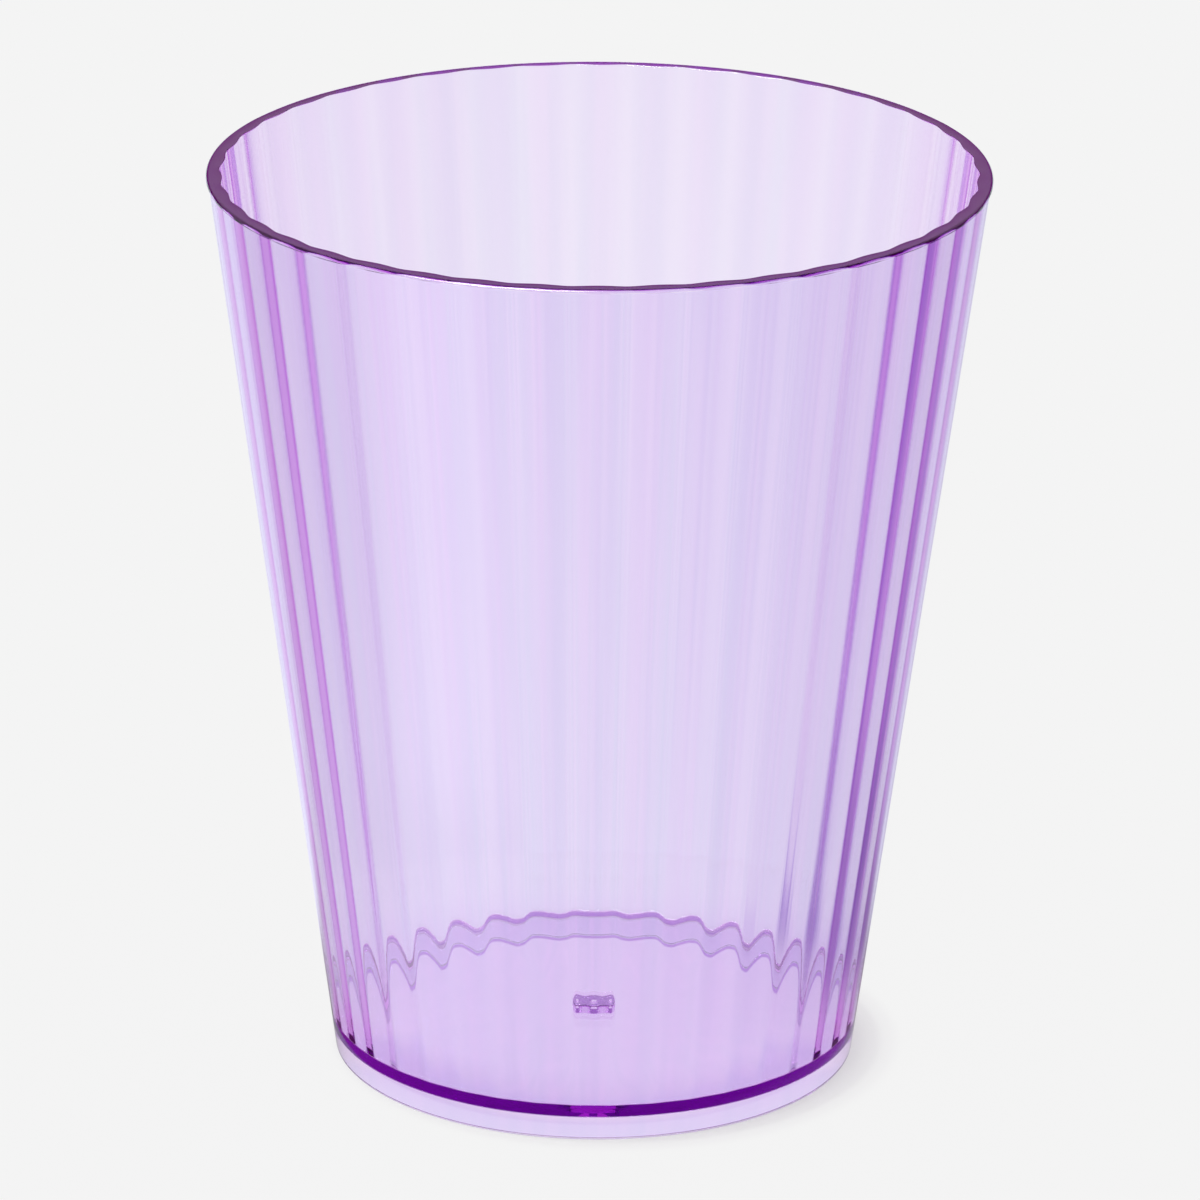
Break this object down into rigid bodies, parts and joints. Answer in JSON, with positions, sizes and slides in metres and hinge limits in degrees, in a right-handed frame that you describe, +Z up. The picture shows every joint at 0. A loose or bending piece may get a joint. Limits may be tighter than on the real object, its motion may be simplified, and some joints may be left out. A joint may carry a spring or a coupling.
{
  "type": "plastic drinking glass",
  "caption": "Tapered see-through tumbler with a smooth outside, a fine lip round the rim, convex flutes down the inside wall, a flat floor and a hollow foot ring, for cold drinks.",
  "frame": {"origin": "centre of the foot ring's underside, on the table", "axes": "+Z up along the tumbler's axis towards the rim; -Y towards the picture's camera, through the middle of a flute"},
  "size_m": [0.085, 0.085, 0.1014],
  "materials": {
    "lilac_plastic": "polished, see-through, tinted lilac all through"
  },
  "bodies": {
    "root": {"tumbler": "lilac_plastic"}
  },
  "joints": []
}
